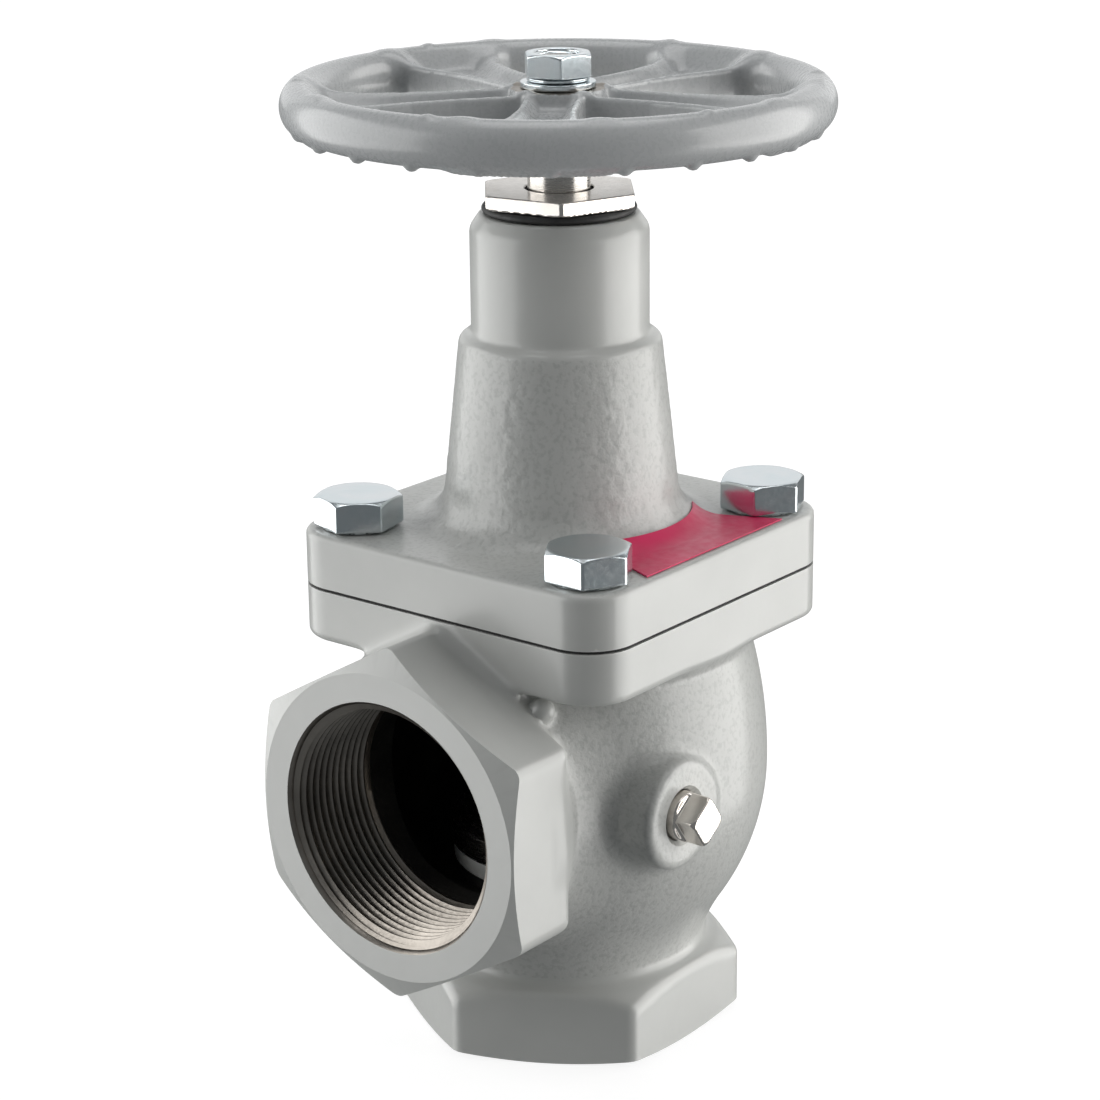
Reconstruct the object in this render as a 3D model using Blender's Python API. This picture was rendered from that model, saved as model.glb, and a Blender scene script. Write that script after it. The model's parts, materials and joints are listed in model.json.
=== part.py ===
"""Angle-pattern globe valve with handwheel: two-inch tapered pipe ports at the side and the bottom.

Metres, +Z up. The origin is on the stem's axis, in the plane of the bottom port's face. The side port
opens towards +X. The valve is modelled closed: the disc is on its seat and the wheel is at its lowest.
"""

import math

import bmesh
import bpy
from mathutils import Matrix, Vector

mm = 0.001

# Driving dimensions
FIT = 0.2 * mm                 # gap between pieces that touch
MERGE = 0.001 * mm             # vertices nearer than this are one
HEX_FLATS = 77.0 * mm          # both pipe ports, across flats
PORT_FACE_X = 68.0 * mm        # side port face from the stem's axis
PORT_AXIS_Z = 69.3 * mm        # side port axis above the bottom face
PORT_BORE_R = 30.0 * mm        # pipe thread at its face
PORT_MOUTH_R = 30.7 * mm       # rim of the chamfer that leads in
PORT_DEPTH = 26.0 * mm         # length of the tapered pipe thread
PIPE_TAPER = 1 / 32            # radius lost for each unit of depth
GLOBE_R = 50.9 * mm            # widest radius of the body
GLOBE_Z = 67.0 * mm            # height of that widest ring
GLOBE_ARC_TOP = 120.0 * mm     # outline arc above it
GLOBE_ARC_BOTTOM = 60.0 * mm   # outline arc below it
WALL = 7.0 * mm
FLANGE_HALF = 47.65 * mm       # square bonnet joint
FLANGE_CORNER_R = 12.0 * mm
BODY_FLANGE_Z = 102.2 * mm
JOINT_Z = 115.5 * mm           # middle of the gasket
GASKET_THICK = 0.8 * mm
BONNET_FLANGE_TOP = 129.0 * mm
BOLT_PITCH = 35.1 * mm         # bolt centre from the axis, along X and along Y
BOLT_R = 6.35 * mm
BOLT_FLATS = 19.05 * mm
BOLT_HEAD = 7.9 * mm
BOLT_LENGTH = 25.0 * mm
BONNET_TOP_Z = 204.5 * mm
SEAT_Z = 40.5 * mm             # top of the seat
SEAT_BORE_R = 23.5 * mm
STEM_R = 7.5 * mm
THREAD_LEAD = 5.08 * mm        # stem thread, one start, right hand
THREAD_CREST_R = 9.8 * mm
THREAD_ROOT_R = 7.9 * mm
THREAD_PLAY = 0.38 * mm        # radial and axial clearance in the bonnet's thread
GLAND_FLATS = 34.9 * mm
WHEEL_Z = 230.7 * mm           # middle plane of the rim
WHEEL_R = 65.2 * mm            # outside of the rim
HUB_TOP_Z = 233.8 * mm
RIM_WIDE = 9.4 * mm
RIM_TALL = 11.5 * mm
SPOKES = 5
SPOKE_TURN = math.radians(32.4)
NUBS = 24
NUB_TURN = math.radians(6.6)
BOSS_X = 19.5 * mm             # tapped boss on the +Y side
BOSS_FACE_Y = 51.2 * mm
BOSS_R = 13.4 * mm

ROUND = 28                     # segments of the large turned shapes
SMALL = 12                     # segments of the small ones
THREAD_STEPS = 16              # segments of the stem's screw thread

PAINT_BODY = ("cast_paint", (0.55, 0.55, 0.53), 0.45, 0.0)
PAINT_WHEEL = ("wheel_paint", (0.42, 0.43, 0.44), 0.35, 0.0)
ZINC = ("zinc_plate", (0.62, 0.64, 0.65), 0.30, 1.0)
NICKEL = ("nickel_plate", (0.70, 0.68, 0.64), 0.22, 1.0)
STEEL = ("stem_steel", (0.55, 0.54, 0.52), 0.28, 1.0)
RUBBER = ("black_rubber", (0.02, 0.02, 0.02), 0.70, 0.0)
GASKET = ("gasket_sheet", (0.03, 0.03, 0.03), 0.85, 0.0)
GRAPHITE = ("packing_graphite", (0.06, 0.06, 0.06), 0.55, 0.0)
PTFE = ("ptfe", (0.85, 0.85, 0.83), 0.40, 0.0)
LABEL = ("red_label", (0.55, 0.03, 0.09), 0.35, 0.0)


def clear_scene():
    for obj in list(bpy.data.objects):
        bpy.data.objects.remove(obj)


def material(spec):
    name, colour, roughness, metallic = spec
    if name in bpy.data.materials:
        return bpy.data.materials[name]
    made = bpy.data.materials.new(name)
    made.use_nodes = True
    shader = made.node_tree.nodes["Principled BSDF"]
    shader.inputs["Base Color"].default_value = (*colour, 1.0)
    shader.inputs["Roughness"].default_value = roughness
    shader.inputs["Metallic"].default_value = metallic
    made.diffuse_color = (*colour, 1.0)
    return made


def finish(name, bm, spec):
    """Turns a bmesh into a named object with consistent outward faces."""
    bmesh.ops.recalc_face_normals(bm, faces=bm.faces)
    mesh = bpy.data.meshes.new(name)
    bm.to_mesh(mesh)
    bm.free()
    mesh.shade_smooth()
    mesh.set_sharp_from_angle(angle=math.radians(35))
    mesh.materials.append(material(spec))
    obj = bpy.data.objects.new(name, mesh)
    bpy.context.scene.collection.objects.link(obj)
    return obj


def turned(name, outline, spec, segments=ROUND):
    """A body of revolution about Z. The outline is (radius, height) points.

    It is a closed loop, unless it starts and ends on the axis.
    """
    bm = bmesh.new()
    points = [bm.verts.new((radius, 0.0, height)) for radius, height in outline]
    edges = [bm.edges.new(pair) for pair in zip(points, points[1:])]
    if outline[0][0] > 0 or outline[-1][0] > 0:
        edges.append(bm.edges.new((points[-1], points[0])))
    bmesh.ops.spin(bm, geom=points + edges, cent=(0, 0, 0), axis=(0, 0, 1), angle=math.tau, steps=segments)
    bmesh.ops.remove_doubles(bm, verts=bm.verts, dist=MERGE)
    return finish(name, bm, spec)


def prism(name, outline, low, high, spec):
    """An upright prism on (x, y) points."""
    bm = bmesh.new()
    face = bm.faces.new([bm.verts.new((x, y, low)) for x, y in outline])
    raised = bmesh.ops.extrude_face_region(bm, geom=[face])["geom"]
    moved = [item for item in raised if isinstance(item, bmesh.types.BMVert)]
    bmesh.ops.translate(bm, vec=(0, 0, high - low), verts=moved)
    return finish(name, bm, spec)


def polygon(sides, flats, turn=0.0):
    """Corners of a regular polygon of a given size across flats, the first corner at angle turn."""
    radius = flats / 2 / math.cos(math.pi / sides)
    angles = [turn + math.tau * k / sides for k in range(sides)]
    return [(radius * math.cos(a), radius * math.sin(a)) for a in angles]


def rounded_square(half, corner, steps=5):
    """Corner arcs of a square with rounded corners, anticlockwise."""
    inner = half - corner
    points = []
    for quarter in range(4):
        middle = math.pi / 4 + quarter * math.pi / 2
        centre = (math.copysign(inner, math.cos(middle)), math.copysign(inner, math.sin(middle)))
        for step in range(steps + 1):
            angle = quarter * math.pi / 2 + step / steps * math.pi / 2
            points.append((centre[0] + corner * math.cos(angle), centre[1] + corner * math.sin(angle)))
    return points


def arc(centre, radius, start, end, steps):
    """Points on an arc in an outline, with angles in degrees from the outward radius."""
    angles = [math.radians(start + (end - start) * k / steps) for k in range(steps + 1)]
    return [(centre[0] + radius * math.cos(a), centre[1] + radius * math.sin(a)) for a in angles]


def helper(obj):
    """Hides a shape that only takes part in a Boolean."""
    obj.hide_render = True
    obj.display_type = "WIRE"
    return obj


def combine(obj, operation, *others):
    """Adds one Boolean for each other shape, in order.

    The solver is MANIFOLD because EXACT leaves open edges where the screw threads are cut.
    """
    for other in others:
        step = obj.modifiers.new(f"{operation.lower()} {other.name}", "BOOLEAN")
        step.operation = operation
        step.solver = "MANIFOLD"
        step.object = helper(other)
    return obj


def place(obj, location=(0, 0, 0), axis="Z"):
    """Stands a shape that was made about Z on another axis, at a location, with the shapes combined in it."""
    turn = {"Z": Matrix.Identity(4), "X": Matrix.Rotation(math.pi / 2, 4, "Y"),
            "-X": Matrix.Rotation(-math.pi / 2, 4, "Y"), "Y": Matrix.Rotation(-math.pi / 2, 4, "X")}[axis]
    obj.matrix_world = Matrix.Translation(Vector(location)) @ turn
    for step in obj.modifiers:
        place(step.object, location, axis)
    return obj


def hex_block(name, flats, low, high, chamfer_low, chamfer_high, spec, turn=0.0):
    """A hexagon whose corners are turned off at the ends, by chamfers of 30 degrees to the end faces.

    A chamfer is given as the radius that it leaves on the end face, or None.
    """
    corner = flats / math.sqrt(3)
    slope = math.tan(math.radians(30))
    outside = corner + 1 * mm
    outline = [(0, low)]
    if chamfer_low:
        outline += [(chamfer_low, low), (outside, low + (outside - chamfer_low) * slope)]
    else:
        outline += [(outside, low)]
    if chamfer_high:
        outline += [(outside, high - (outside - chamfer_high) * slope), (chamfer_high, high)]
    else:
        outline += [(outside, high)]
    outline += [(0, high)]
    block = prism(name, polygon(6, flats, turn), low - 1 * mm, high + 1 * mm, spec)
    return combine(block, "INTERSECT", turned(f"{name}_envelope", outline, spec, 18))


def threaded_rod(name, low, high, root, crest, widen, spec):
    """A rod with a right-hand trapezoidal screw thread that fades out into the root radius at its ends.

    A vertex row follows each edge of the thread, so a row that leaves the seam comes back one turn
    higher. widen is how much further each flank stands out than the stem's own flank does.
    """
    spread = widen / THREAD_LEAD
    edges = [(0.22 - spread, root), (0.36 - spread, crest), (0.64 + spread, crest), (0.78 + spread, root)]
    first = math.floor(low / THREAD_LEAD) - 1
    last = math.ceil(high / THREAD_LEAD)
    rows = [(turn + part, radius) for turn in range(first, last + 1) for part, radius in edges]
    fade = 0.3 * THREAD_LEAD
    bm = bmesh.new()
    columns = []
    for step in range(THREAD_STEPS):
        angle = math.tau * step / THREAD_STEPS
        column = []
        for part, radius in rows:
            height = min(max(THREAD_LEAD * (part + step / THREAD_STEPS), low), high)
            share = min(1.0, (height - low) / fade, (high - height) / fade)
            reach = root + (radius - root) * share
            column.append(bm.verts.new((reach * math.cos(angle), reach * math.sin(angle), height)))
        columns.append(column)
    per_turn = len(edges)
    for step, column in enumerate(columns):
        after = columns[(step + 1) % THREAD_STEPS]
        shift = per_turn if step == THREAD_STEPS - 1 else 0
        for row in range(len(rows) - 1):
            if row + 1 + shift < len(rows):
                bm.faces.new((column[row], after[row + shift], after[row + shift + 1], column[row + 1]))
    bmesh.ops.remove_doubles(bm, verts=bm.verts, dist=MERGE)
    bmesh.ops.holes_fill(bm, edges=[edge for edge in bm.edges if edge.is_boundary])
    return finish(name, bm, spec)


def globe_outline(inset, low, high, steps):
    """(radius, height) points on the body's round outline between two heights, moved in by inset."""
    points = []
    for k in range(steps + 1):
        height = low + (high - low) * k / steps
        curve = (GLOBE_ARC_TOP if height > GLOBE_Z else GLOBE_ARC_BOTTOM) - inset
        sag = curve - math.sqrt(curve ** 2 - (height - GLOBE_Z) ** 2)
        points.append((GLOBE_R - inset - sag, height))
    return points


def pipe_bore():
    """Outline of a tapered pipe port whose face is at height 0, looking up, from outside to its far end."""
    lead_in = PORT_MOUTH_R - PORT_BORE_R
    return [(0, -1 * mm), (PORT_MOUTH_R + 1 * mm, -1 * mm), (PORT_MOUTH_R, 0), (PORT_BORE_R, 2 * lead_in),
            (PORT_BORE_R - PORT_DEPTH * PIPE_TAPER, PORT_DEPTH)]


def bolt_places():
    """Corners of the bolt square, anticlockwise from the one between the side port and the boss."""
    return [(x * BOLT_PITCH, y * BOLT_PITCH) for x, y in ((1, 1), (-1, 1), (-1, -1), (1, -1))]


def bolt_holes(prefix, radius, low, high):
    holes = []
    for number, (x, y) in enumerate(bolt_places(), 1):
        hole = turned(f"{prefix}_{number}", [(0, low), (radius, low), (radius, high), (0, high)], STEEL,
                      SMALL)
        holes.append(place(hole, (x, y, 0)))
    return holes


def make_body():
    neck_r = 34.0 * mm
    hex_top = 19.5 * mm
    bottom = hex_block("valve_body", HEX_FLATS, 0, hex_top, 37.5 * mm, 38.0 * mm, PAINT_BODY)
    waist = 26.0 * mm
    outline = [(0, 10 * mm), (neck_r, 10 * mm), (neck_r, 22 * mm), (neck_r + 1.8 * mm, waist)]
    outline += globe_outline(0, waist + 5 * mm, 104 * mm, 7) + [(0, 104 * mm)]
    globe = turned("body_globe", outline, PAINT_BODY)
    flange = prism("body_flange", rounded_square(FLANGE_HALF, FLANGE_CORNER_R), BODY_FLANGE_Z,
                   JOINT_Z - GASKET_THICK / 2, PAINT_BODY)
    side_axis = (0, 0, PORT_AXIS_Z)
    side = hex_block("body_side_hex", HEX_FLATS, 46.5 * mm, PORT_FACE_X, None, 37.5 * mm, PAINT_BODY)
    neck = turned("body_side_neck", [(0, 10 * mm), (36.5 * mm, 10 * mm), (36.5 * mm, 50 * mm), (0, 50 * mm)],
                  PAINT_BODY)
    boss = turned("body_boss", [(0, 25 * mm), (BOSS_R + 0.6 * mm, 25 * mm), (BOSS_R + 0.6 * mm, 40 * mm),
                                (BOSS_R, BOSS_FACE_Y), (0, BOSS_FACE_Y)], PAINT_BODY, 20)
    combine(bottom, "UNION", globe, flange, place(side, side_axis, "X"), place(neck, side_axis, "X"),
            place(boss, (BOSS_X, 0, PORT_AXIS_Z), "Y"))

    floor = SEAT_Z - 2.5 * mm
    opening_r = 33.2 * mm
    inside = pipe_bore() + [(SEAT_BORE_R, PORT_DEPTH + 3 * mm), (SEAT_BORE_R, SEAT_Z),
                            (SEAT_BORE_R + 2.6 * mm, SEAT_Z), (SEAT_BORE_R + 4 * mm, floor), (33 * mm, floor)]
    inside += globe_outline(WALL, 46 * mm, 94 * mm, 5)
    inside += [(opening_r, 103 * mm), (opening_r, JOINT_Z + 2 * mm), (0, JOINT_Z + 2 * mm)]
    passage_r = 27.5 * mm
    reach = PORT_FACE_X - 18 * mm
    side_bore = turned("cutter_side_bore", pipe_bore() + [(passage_r, PORT_DEPTH + 3 * mm), (passage_r, reach),
                                                          (0, reach)], PAINT_BODY)
    place(side_bore, (PORT_FACE_X, 0, PORT_AXIS_Z), "-X")
    tapping = [(0, 30 * mm), (6.2 * mm, 30 * mm), (6.9 * mm, BOSS_FACE_Y + 1 * mm), (0, BOSS_FACE_Y + 1 * mm)]
    boss_hole = place(turned("cutter_boss_hole", tapping, STEEL, SMALL), (BOSS_X, 0, PORT_AXIS_Z), "Y")
    holes = bolt_holes("cutter_body_bolt", BOLT_R + 0.3 * mm, BONNET_FLANGE_TOP - BOLT_LENGTH - 0.6 * mm,
                       JOINT_Z + 2 * mm)
    combine(bottom, "DIFFERENCE", turned("cutter_inside", inside, PAINT_BODY), side_bore, boss_hole, *holes)


def make_gasket():
    half = FLANGE_HALF - 0.5 * mm
    low = JOINT_Z - GASKET_THICK / 2 + FIT / 2
    high = JOINT_Z + GASKET_THICK / 2 - FIT / 2
    gasket = prism("bonnet_gasket", rounded_square(half, FLANGE_CORNER_R), low, high, GASKET)
    middle = turned("cutter_gasket_middle", [(0, low - mm), (33.2 * mm, low - mm), (33.2 * mm, high + mm),
                                             (0, high + mm)], GASKET)
    combine(gasket, "DIFFERENCE", middle, *bolt_holes("cutter_gasket_bolt", BOLT_R + 0.5 * mm, low - mm,
                                                      high + mm))


def make_bonnet():
    low = JOINT_Z + GASKET_THICK / 2
    top = BONNET_FLANGE_TOP
    fillet = 9.0 * mm
    cone_low_r = 28.3 * mm
    cone_top = (24.4 * mm, 174.0 * mm)
    barrel_r = 21.4 * mm
    bonnet = prism("bonnet", rounded_square(FLANGE_HALF, FLANGE_CORNER_R), low, top, PAINT_BODY)
    outline = [(0, 111.5 * mm), (32.7 * mm, 111.5 * mm), (32.7 * mm, top - 4 * mm),
               (cone_low_r + fillet, top - mm)]
    outline += arc((cone_low_r + fillet, top + fillet), fillet, 262, 182, 6)
    outline += [cone_top, (barrel_r, 176.6 * mm), (barrel_r, 201 * mm), (19 * mm, BONNET_TOP_Z),
                (0, BONNET_TOP_Z)]
    combine(bonnet, "UNION", turned("bonnet_tower", outline, PAINT_BODY))
    relief_r = THREAD_CREST_R + 1.2 * mm
    bore = [(0, 110 * mm), (24 * mm, 110 * mm), (24 * mm, 113 * mm), (relief_r, 117.5 * mm),
            (relief_r, 118 * mm), (THREAD_ROOT_R, 118 * mm), (THREAD_ROOT_R, 143.5 * mm),
            (relief_r, 143.5 * mm), (relief_r, 164 * mm),
            (8.0 * mm, 167 * mm), (8.0 * mm, 170 * mm), (12.3 * mm, 170 * mm), (12.3 * mm, 190 * mm),
            (14.3 * mm, 191 * mm), (14.3 * mm, BONNET_TOP_Z + mm), (0, BONNET_TOP_Z + mm)]
    thread = threaded_rod("cutter_bonnet_thread", 114.5 * mm, 147 * mm, THREAD_ROOT_R + THREAD_PLAY,
                          THREAD_CREST_R + THREAD_PLAY, THREAD_PLAY, STEEL)
    combine(bonnet, "DIFFERENCE", thread, turned("cutter_bonnet_bore", bore, STEEL, 24),
            *bolt_holes("cutter_bonnet_bolt", BOLT_R + 0.5 * mm, low - mm, top + mm))


def make_bolts():
    turns = (30.4, 24.3, 50.0, 12.2)
    for number, ((x, y), turn) in enumerate(zip(bolt_places(), turns), 1):
        low = BONNET_FLANGE_TOP + FIT
        bolt = hex_block(f"bonnet_bolt_{number}", BOLT_FLATS, low, low + BOLT_HEAD, None,
                         BOLT_FLATS / 2 - 0.2 * mm, ZINC, math.radians(turn))
        tip = low - BOLT_LENGTH
        shank = [(0, tip), (BOLT_R - 1.2 * mm, tip), (BOLT_R, tip + 1.5 * mm), (BOLT_R, low + mm),
                 (0, low + mm)]
        combine(bolt, "UNION", turned(f"bolt_shank_{number}", shank, ZINC, SMALL))
        place(bolt, (x, y, 0))


def make_label():
    """A thin plate on the bonnet's flange, with its ends cut to clear the bolt heads."""
    outline = [(10, 38), (19, 38), (26.5, 45.2), (-26.5, 45.2), (-19, 38), (-10, 38)]
    low = BONNET_FLANGE_TOP + FIT
    prism("id_label", [(x * mm, y * mm) for x, y in outline], low, low + 0.4 * mm, LABEL)


def make_boss_plug():
    start = BOSS_FACE_Y - 11 * mm
    stop = BOSS_FACE_Y + 2.2 * mm
    outline = [(0, start), (6.1 * mm, start), (6.5 * mm, stop), (0, stop)]
    plug = prism("boss_plug", polygon(4, 8.6 * mm, math.radians(35)), BOSS_FACE_Y + mm, BOSS_FACE_Y + 7 * mm,
                 NICKEL)
    combine(plug, "UNION", turned("plug_thread", outline, NICKEL, SMALL))
    place(plug, (BOSS_X, 0, PORT_AXIS_Z), "Y")


def make_gland():
    """The gland nut with its two seals, and the packing under it."""
    seal_low = BONNET_TOP_Z + FIT
    hex_low = seal_low + 2.0 * mm
    hex_top = 210.2 * mm
    nut_foot = 189.6 * mm
    nut = hex_block("gland_nut", GLAND_FLATS, hex_low, hex_top, GLAND_FLATS / 2 + 0.6 * mm,
                    GLAND_FLATS / 2 + 0.8 * mm, NICKEL, math.radians(39.5))
    shank = [(0, nut_foot), (11.9 * mm, nut_foot), (12.0 * mm, 191.2 * mm), (14.0 * mm, 192.4 * mm),
             (14.0 * mm, hex_low + mm), (0, hex_low + mm)]
    combine(nut, "UNION", turned("gland_nut_shank", shank, NICKEL, 20))
    wiper_r = 9.8 * mm
    wiper_low = 207.6 * mm
    hole = [(0, nut_foot - mm), (STEM_R + 0.25 * mm, nut_foot - mm), (STEM_R + 0.25 * mm, wiper_low),
            (wiper_r, wiper_low), (wiper_r, hex_top + mm), (0, hex_top + mm)]
    combine(nut, "DIFFERENCE", turned("cutter_gland_bore", hole, NICKEL, 20))
    turned("gland_seal", [(14.3 * mm, seal_low), (18.0 * mm, seal_low), (18.6 * mm, seal_low + 0.9 * mm),
                          (18.0 * mm, seal_low + 1.8 * mm), (14.3 * mm, seal_low + 1.8 * mm)], RUBBER, 24)
    inner = STEM_R + 0.2 * mm
    turned("stem_wiper", [(inner, wiper_low + FIT), (wiper_r - FIT, wiper_low + FIT),
                          (wiper_r - FIT, 209.6 * mm),
                          (inner + 0.8 * mm, 210.4 * mm), (inner, 210.4 * mm)], RUBBER, 24)
    inner = STEM_R + 0.25 * mm
    outer = 12.1 * mm
    ring_tall = 3.9 * mm
    level = 170.2 * mm
    turned("packing_washer", [(inner, level), (outer, level), (outer, level + 1.8 * mm),
                              (inner, level + 1.8 * mm)],
           STEEL, 24)
    level += 2.0 * mm
    for number in range(1, 4):
        top = level + ring_tall
        middle = (inner + outer) / 2
        turned(f"packing_ring_{number}", [(inner, level), (middle, level + 1 * mm), (outer, level),
                                          (outer, top),
                                          (middle, top + 1 * mm), (inner, top)], GRAPHITE, 24)
        level = top + FIT
    middle = (inner + outer) / 2
    top = nut_foot - FIT
    turned("packing_follower", [(inner, level), (middle, level + 1 * mm), (outer, level), (outer, top),
                                (inner, top)],
           STEEL, 24)


def make_stem():
    """Stem with its clip groove, screw thread, square for the wheel and stud for the nut."""
    end = 55.8 * mm
    groove = (58.0 * mm, 60.2 * mm)
    groove_r = 5.8 * mm
    thread = (111.5 * mm, 145 * mm)
    square_low = 221.5 * mm
    square_top = 233.6 * mm
    stud_r = 4.6 * mm
    stem = threaded_rod("stem", *thread, THREAD_ROOT_R, THREAD_CREST_R, 0, STEEL)
    lower = [(0, end), (STEM_R - mm, end), (STEM_R, end + mm), (STEM_R, groove[0]), (groove_r, groove[0]),
             (groove_r, groove[1]), (STEM_R, groove[1]), (STEM_R, thread[0] + 2 * mm),
             (0, thread[0] + 2 * mm)]
    drive_r = 7.2 * mm
    upper = [(0, thread[1] - 2 * mm), (STEM_R, thread[1] - 2 * mm), (STEM_R, square_low),
             (drive_r, square_low), (drive_r, square_top), (stud_r, square_top), (stud_r, 240.6 * mm),
             (stud_r - 0.7 * mm, 241.3 * mm),
             (0, 241.3 * mm)]
    combine(stem, "UNION", turned("stem_lower", lower, STEEL, 24), turned("stem_upper", upper, STEEL, 24))
    for side in range(4):
        flat = prism(f"cutter_square_{side}", [(5.4 * mm, -9 * mm), (12 * mm, -9 * mm), (12 * mm, 9 * mm),
                                               (5.4 * mm, 9 * mm)], square_low, square_top + FIT, STEEL)
        flat.rotation_euler.z = math.radians(12 + 90 * side)
        combine(stem, "DIFFERENCE", flat)
    clip = turned("stem_clip", [(groove_r + 0.15 * mm, groove[0] + 0.3 * mm),
                                (9.3 * mm, groove[0] + 0.3 * mm), (9.3 * mm, groove[1] - 0.3 * mm),
                                (groove_r + 0.15 * mm, groove[1] - 0.3 * mm)],
                  STEEL, 24)
    mouth = prism("cutter_clip_mouth", [(0, -4.5 * mm), (12 * mm, -4.5 * mm), (12 * mm, 4.5 * mm),
                                        (0, 4.5 * mm)], groove[0] - mm, groove[1] + mm, STEEL)
    combine(clip, "DIFFERENCE", mouth)


def make_disc():
    """The disc that closes on the seat, with its holder, soft ring, retainer and screw, and the swivel nut."""
    ring_low = SEAT_Z + 0.3 * mm
    ring_top = ring_low + 4.2 * mm
    plate_low = ring_top + FIT
    turned("seat_ring", [(15.2 * mm, ring_low), (28.0 * mm, ring_low), (28.0 * mm, ring_top),
                         (15.2 * mm, ring_top)], PTFE, 24)
    plate_top = 54.6 * mm
    socket = (10.6 * mm, 54.0 * mm)
    collar_r = 14.5 * mm
    collar_top = 68.0 * mm
    screw_r = 5.0 * mm
    holder = [(screw_r + 0.2 * mm, plate_low), (28.6 * mm, plate_low), (28.6 * mm, 51.5 * mm),
              (24 * mm, plate_top),
              (collar_r, 57 * mm), (collar_r, collar_top), socket[:1] + (collar_top,), socket, (0, socket[1])]
    blind = 52.0 * mm
    outline = [(0, blind), (screw_r + 0.2 * mm, blind)] + holder
    turned("disc_holder", outline, STEEL, 24)
    retainer_low = 37.6 * mm
    turned("disc_retainer", [(screw_r + 0.2 * mm, retainer_low), (19.2 * mm, retainer_low),
                             (20.0 * mm, 38.4 * mm),
                             (20.0 * mm, ring_low - FIT), (14.9 * mm, ring_low - FIT), (14.9 * mm, ring_top),
                             (screw_r + 0.2 * mm, ring_top)], STEEL, 20)
    head_low = 31.2 * mm
    head_top = retainer_low - FIT
    screw = hex_block("disc_screw", 16 * mm, head_low, head_top, 7.8 * mm, None, STEEL)
    combine(screw, "UNION", turned("screw_shank", [(0, head_top - mm), (screw_r, head_top - mm),
                                                   (screw_r, 51.6 * mm), (0, 51.6 * mm)], STEEL, SMALL))
    pad_low = socket[1] + FIT
    turned("thrust_pad", [(0, pad_low), (6 * mm, pad_low), (6 * mm, pad_low + 0.9 * mm),
                          (3 * mm, pad_low + 1.4 * mm),
                          (0, pad_low + 1.4 * mm)], STEEL, SMALL)
    nut_low = 60.6 * mm
    nut_top = 74.0 * mm
    swivel = hex_block("swivel_nut", 24 * mm, collar_top + FIT, nut_top, None, 11.8 * mm, STEEL)
    combine(swivel, "UNION", turned("swivel_shank", [(0, nut_low), (10.3 * mm, nut_low),
                                                     (10.3 * mm, collar_top + mm), (0, collar_top + mm)],
                                                     STEEL, 24))
    combine(swivel, "DIFFERENCE", turned("cutter_swivel_bore", [(0, nut_low - mm),
                                                                (STEM_R + 0.3 * mm, nut_low - mm),
                                                                (STEM_R + 0.3 * mm, nut_top + mm),
                                                                (0, nut_top + mm)], STEEL, 24))


def spoke_outline():
    """Half widths of a spoke at radii from the hub to the rim."""
    stations = [(9.5, 6.4), (14, 7.0), (26, 7.0), (44, 9.6), (58.5, 14.5)]
    right = [(radius * mm, -half * mm) for radius, half in stations]
    return right + [(x, -y) for x, y in reversed(right)]


def make_wheel():
    centre_r = WHEEL_R - RIM_WIDE / 2
    section = [(centre_r + RIM_WIDE / 2 * math.cos(a), WHEEL_Z + RIM_TALL / 2 * math.sin(a))
               for a in (math.tau * k / 8 for k in range(8))]
    wheel = turned("handwheel", section, PAINT_WHEEL, 40)
    hub = turned("wheel_hub", [(0, 221.8 * mm), (10.6 * mm, 221.8 * mm), (11.6 * mm, 223 * mm),
                               (11.2 * mm, HUB_TOP_Z - 0.6 * mm), (10.6 * mm, HUB_TOP_Z), (0, HUB_TOP_Z)],
                 PAINT_WHEEL, 20)
    combine(wheel, "UNION", hub)
    for number in range(SPOKES):
        spoke = prism(f"wheel_spoke_{number}", spoke_outline(), 228.2 * mm, 233.0 * mm, PAINT_WHEEL)
        spoke.rotation_euler.z = SPOKE_TURN + math.tau * number / SPOKES
        combine(wheel, "UNION", spoke)
    nub_r = 61.2 * mm
    for number in range(NUBS):
        nub = turned(f"wheel_nub_{number}", [(0, 223.9 * mm), (1.6 * mm, 225.2 * mm), (1.6 * mm, 227.5 * mm),
                                             (0, 227.5 * mm)], PAINT_WHEEL, 5)
        angle = NUB_TURN + math.tau * number / NUBS
        place(nub, (nub_r * math.cos(angle), nub_r * math.sin(angle), 0))
        combine(wheel, "UNION", nub)
    socket = prism("cutter_wheel_square", polygon(4, 11.3 * mm, math.radians(12 + 45)), 220 * mm, 236 * mm,
                   PAINT_WHEEL)
    combine(wheel, "DIFFERENCE", socket)


def make_wheel_fasteners():
    """Washer, split lock washer and nut, stacked on the hub."""
    inner = 5.0 * mm
    washer_r, washer_thick = 8.9 * mm, 1.4 * mm
    lock_r, lock_thick = 7.4 * mm, 0.8 * mm
    nut_tall = 5.5 * mm
    low = HUB_TOP_Z + FIT
    turned("wheel_washer", [(inner, low), (washer_r, low), (washer_r, low + washer_thick),
                            (inner, low + washer_thick)],
           ZINC, 20)
    low += washer_thick + FIT
    lock = turned("wheel_lock_washer", [(inner, low), (lock_r, low), (lock_r, low + lock_thick),
                                        (inner, low + lock_thick)], ZINC, 20)
    split = prism("cutter_lock_split", [(3 * mm, -0.5 * mm), (9 * mm, -0.5 * mm), (9 * mm, 0.5 * mm),
                                        (3 * mm, 0.5 * mm)], low - mm, low + 3 * mm, ZINC)
    split.rotation_euler.z = math.radians(140)
    combine(lock, "DIFFERENCE", split)
    low += lock_thick + FIT
    nut = hex_block("wheel_nut", 15.0 * mm, low, low + nut_tall, 7.6 * mm, 7.6 * mm, ZINC, math.radians(42))
    combine(nut, "DIFFERENCE", turned("cutter_nut_bore", [(0, low - mm), (4.8 * mm, low - mm),
                                                          (4.8 * mm, low + 6 * mm), (0, low + 6 * mm)],
                                                          ZINC, SMALL))


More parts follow.
